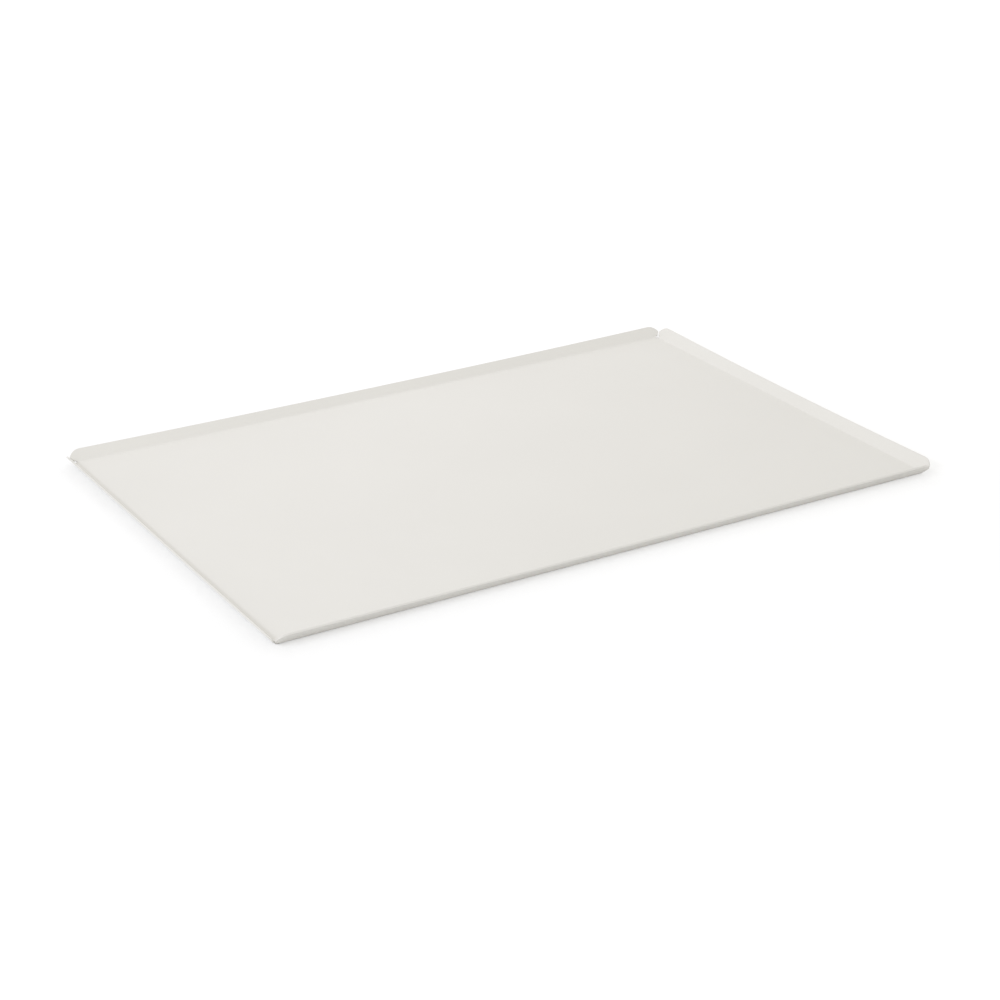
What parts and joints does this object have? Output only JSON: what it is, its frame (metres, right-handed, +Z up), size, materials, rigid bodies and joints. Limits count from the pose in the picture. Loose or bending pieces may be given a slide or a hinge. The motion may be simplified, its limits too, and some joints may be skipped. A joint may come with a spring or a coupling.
{
  "type": "cookie sheet",
  "caption": "Shallow rectangular baking sheet folded from one coated metal blank, with low sloping rims, narrow mitred corner slits, rounded rim ends and round corner relief holes.",
  "frame": {"origin": "middle of the flat underside, on the surface that the tray rests on", "axes": "+X along the long side, +Y along the short side, +Z up, out of the cooking face"},
  "size_m": [0.6, 0.4, 0.0108],
  "materials": {
    "bare_metal": "rolled, hidden by the coats",
    "cooking_coat": "satin ivory non-stick coat",
    "underside_coat": "satin ivory heat-resistant coat"
  },
  "bodies": {
    "root": {"folded_metal_sheet": "bare_metal", "cooking_side_coating": "cooking_coat", "underside_coating": "underside_coat"}
  },
  "joints": []
}
